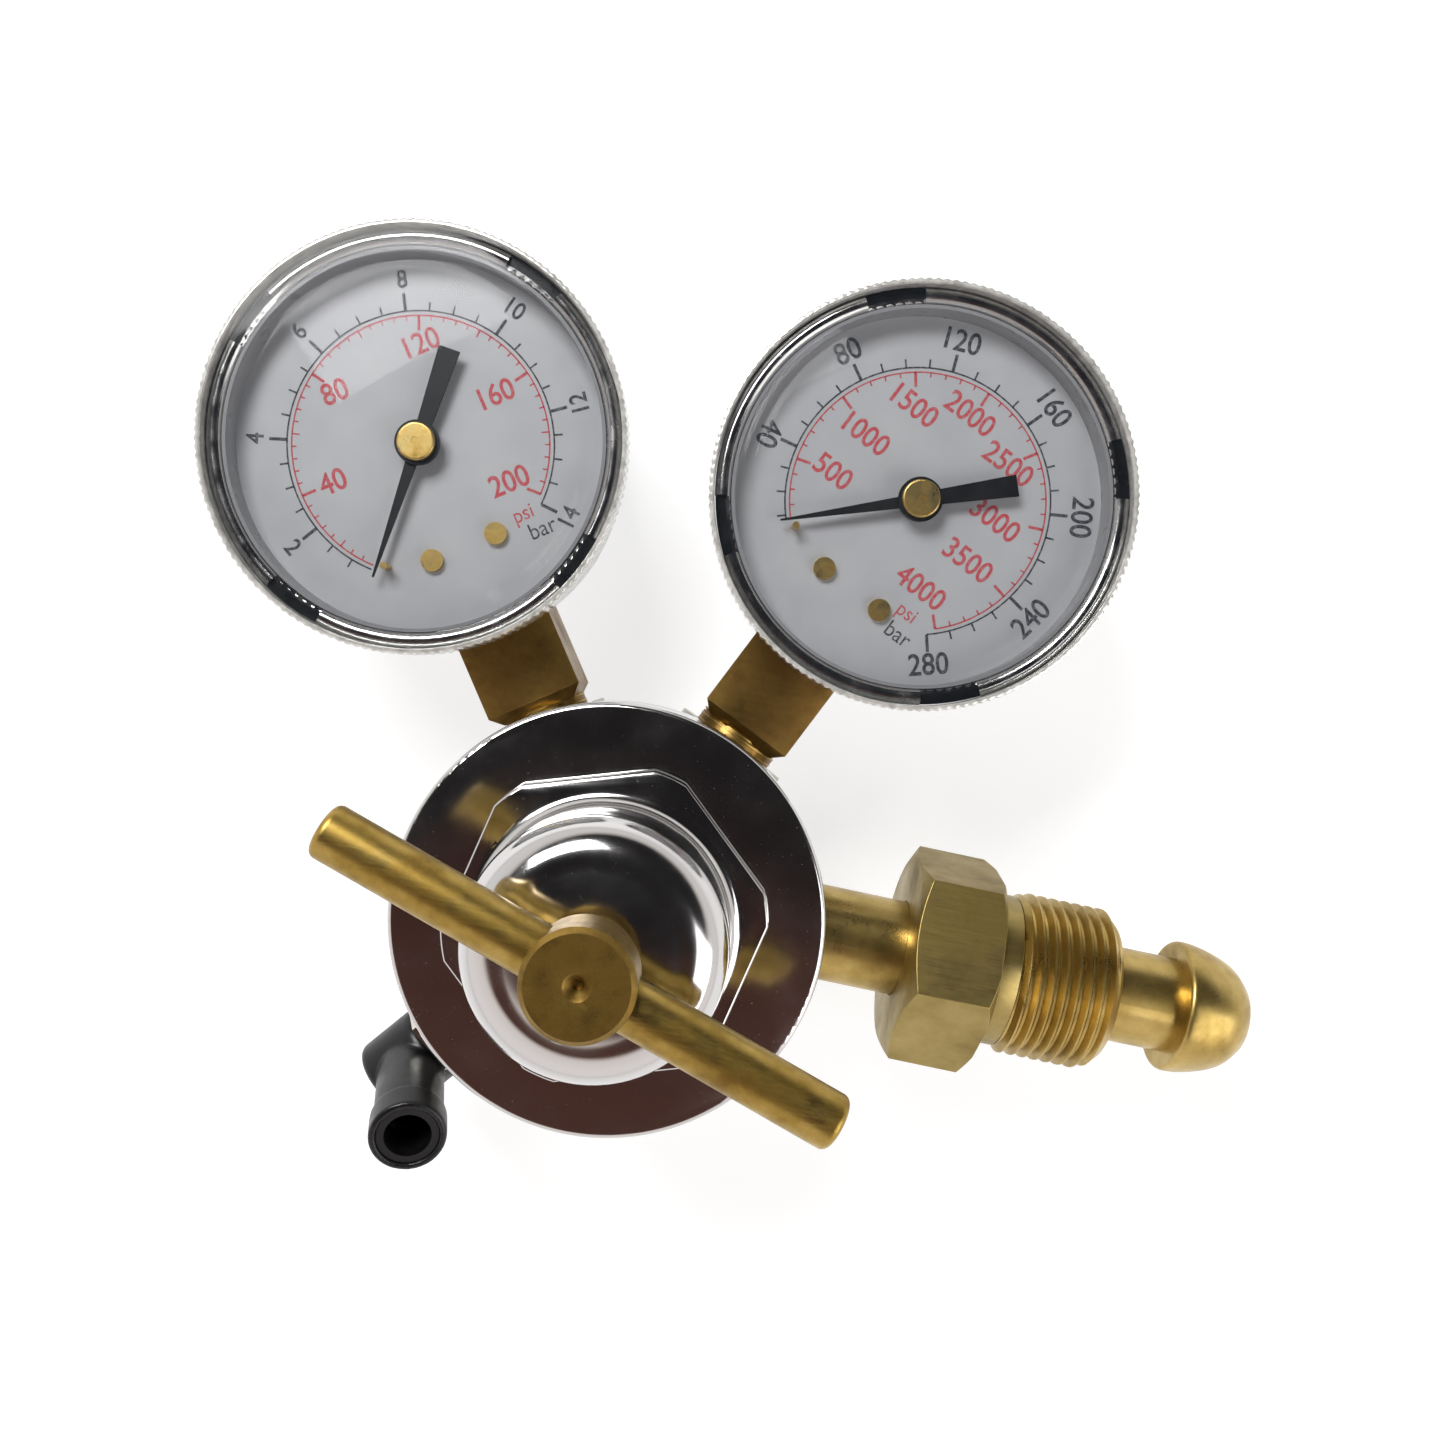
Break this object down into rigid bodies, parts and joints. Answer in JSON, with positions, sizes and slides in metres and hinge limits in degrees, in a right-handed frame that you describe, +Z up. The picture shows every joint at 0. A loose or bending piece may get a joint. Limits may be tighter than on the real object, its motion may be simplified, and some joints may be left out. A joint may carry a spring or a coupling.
{
  "type": "gas pressure regulator",
  "caption": "Bottle-gas pressure regulator with a chromed bonnet, T-handle screw, pressure gauges, a bullet-nose cylinder inlet and a push-in outlet elbow.",
  "frame": {"origin": "centre of the regulator body's flat back face", "axes": "+Z up the bonnet's axis to the handle, +X out along the cylinder inlet, gauges on the +Y side"},
  "size_m": [0.1671, 0.1367, 0.082],
  "materials": {
    "chrome_plate": "polished chrome plate",
    "cast_body": "nickel-plated forged brass",
    "handle_brass": "turned brass, lightly tarnished",
    "inlet_brass": "turned brass",
    "gauge_brass": "cast and sawn brass, tarnished",
    "movement_brass": "punched brass sheet",
    "nickel": "nickel plate",
    "spring_steel": "drawn spring wire",
    "bearing_zinc": "zinc-plated steel",
    "diaphragm_rubber": "moulded rubber",
    "seal_rubber": "moulded rubber",
    "seat_nylon": "turned nylon",
    "sintered_bronze": "sintered bronze",
    "elbow_nylon": "moulded black nylon",
    "collet_acetal": "moulded acetal",
    "case_steel": "polished stainless steel",
    "lens_clear": "moulded clear polycarbonate",
    "dial_ring_black": "moulded black plastic",
    "dial_face": "printed white enamel",
    "pointer_black": "black enamel on aluminium",
    "hub_brass": "turned brass"
  },
  "bodies": {
    "regulator": {"regulator_body": "cast_body", "bonnet": "chrome_plate", "diaphragm": "diaphragm_rubber", "slip_ring": "bearing_zinc", "valve_nozzle": "gauge_brass", "range_spring": "spring_steel", "poppet_spring": "spring_steel", "inlet_nipple": "inlet_brass", "inlet_filter": "sintered_bronze", "outlet_stud": "nickel", "elbow_seal": "seal_rubber", "gauge_dial_screws": "hub_brass", "gauge_case_screws": "nickel", "delivery_socket": "gauge_brass", "delivery_case": "case_steel", "delivery_lens": "lens_clear", "delivery_lens_seal": "seal_rubber", "delivery_dial_ring": "dial_ring_black", "delivery_dial": "dial_face", "delivery_stop_pin": "hub_brass", "delivery_bourdon_tube": "movement_brass", "delivery_hairspring": "movement_brass", "delivery_back_plate": "movement_brass", "delivery_front_plate": "movement_brass", "delivery_movement_pillars": "movement_brass", "cylinder_socket": "gauge_brass", "cylinder_case": "case_steel", "cylinder_lens": "lens_clear", "cylinder_lens_seal": "seal_rubber", "cylinder_dial_ring": "dial_ring_black", "cylinder_dial": "dial_face", "cylinder_stop_pin": "hub_brass", "cylinder_bourdon_tube": "movement_brass", "cylinder_hairspring": "movement_brass", "cylinder_back_plate": "movement_brass", "cylinder_front_plate": "movement_brass", "cylinder_movement_pillars": "movement_brass"},
    "spring_button": {"spring_button": "bearing_zinc"},
    "handle": {"adjusting_screw": "handle_brass", "handle_bar": "handle_brass"},
    "valve": {"diaphragm_plate": "bearing_zinc", "valve_pin": "spring_steel", "valve_poppet": "gauge_brass", "valve_seat_disc": "seat_nylon"},
    "inlet_nut": {"inlet_nut": "inlet_brass"},
    "elbow": {"elbow_body": "elbow_nylon", "tube_seal": "seal_rubber", "grab_ring": "spring_steel"},
    "release_collet": {"release_collet": "collet_acetal"},
    "delivery_pointer": {"delivery_pointer": "pointer_black", "delivery_pointer_hub": "hub_brass", "delivery_pinion_arbor": "movement_brass"},
    "delivery_sector": {"delivery_sector_gear": "movement_brass"},
    "delivery_link": {"delivery_link": "movement_brass"},
    "cylinder_pointer": {"cylinder_pointer": "pointer_black", "cylinder_pointer_hub": "hub_brass", "cylinder_pinion_arbor": "movement_brass"},
    "cylinder_sector": {"cylinder_sector_gear": "movement_brass"},
    "cylinder_link": {"cylinder_link": "movement_brass"}
  },
  "joints": [
    {"name": "delivery_pointer_turn", "type": "hinge", "parent": "regulator", "child": "delivery_pointer", "pos_m": [-0.04072, 0.05816, 0.02], "axis": [0, 0, 1], "range_deg": [-275, 0]},
    {"name": "delivery_sector_swing", "type": "hinge", "parent": "regulator", "child": "delivery_sector", "pos_m": [-0.02817, 0.05595, 0.02], "axis": [0, 0, 1], "range_deg": [0, 36.72]},
    {"name": "delivery_link_swing", "type": "hinge", "parent": "delivery_sector", "child": "delivery_link", "pos_m": [-0.02324, 0.05508, 0.02], "axis": [0, 0, 1], "range_deg": [-36.72, 0]},
    {"name": "cylinder_pointer_turn", "type": "hinge", "parent": "regulator", "child": "cylinder_pointer", "pos_m": [0.03043, 0.06525, 0.02], "axis": [0, 0, 1], "range_deg": [-270.3, 0]},
    {"name": "cylinder_sector_swing", "type": "hinge", "parent": "regulator", "child": "cylinder_sector", "pos_m": [0.03479, 0.05327, 0.02], "axis": [0, 0, 1], "range_deg": [0, 36.09]},
    {"name": "cylinder_link_swing", "type": "hinge", "parent": "cylinder_sector", "child": "cylinder_link", "pos_m": [0.0365, 0.04857, 0.02], "axis": [0, 0, 1], "range_deg": [-36.09, 0]},
    {"name": "screw_advance", "type": "slide", "parent": "regulator", "child": "spring_button", "axis": [0, 0, 1], "range_m": [-0.0045, 0], "deforming": ["range_spring"]},
    {"name": "handle_turn", "type": "hinge", "parent": "spring_button", "child": "handle", "pos_m": [0, 0, 0.02], "axis": [0, 0, 1], "range_deg": [-1080, 0]},
    {"name": "valve_travel", "type": "slide", "parent": "regulator", "child": "valve", "axis": [0, 0, 1], "range_m": [-0.0006001, 0], "deforming": ["diaphragm", "poppet_spring"]},
    {"name": "inlet_nut_spin", "type": "hinge", "parent": "regulator", "child": "inlet_nut", "pos_m": [0.05, 0, 0.02], "axis": [1, 0, 0], "continuous": true},
    {"name": "elbow_swivel", "type": "hinge", "parent": "regulator", "child": "elbow", "pos_m": [-0.02599, -0.0321, 0.02], "axis": [-0.6293, -0.7771, 0], "continuous": true},
    {"name": "collet_press", "type": "slide", "parent": "elbow", "child": "release_collet", "axis": [0.2453, -0.1986, 0.9489], "range_m": [-0.001, 0], "stiffness_N_per_m": 300, "springref_m": 0.0005}
  ],
  "couplings": [
    {"joint": "delivery_sector_swing", "follows": "delivery_pointer_turn", "ratio": -0.13333},
    {"joint": "delivery_link_swing", "follows": "delivery_pointer_turn", "ratio": 0.13333},
    {"joint": "cylinder_sector_swing", "follows": "cylinder_pointer_turn", "ratio": -0.13333},
    {"joint": "cylinder_link_swing", "follows": "cylinder_pointer_turn", "ratio": 0.13333},
    {"joint": "screw_advance", "follows": "handle_turn", "m_per_rad": 0.00023873},
    {"joint": "valve_travel", "follows": "handle_turn", "m_per_rad": 0.000031831}
  ]
}
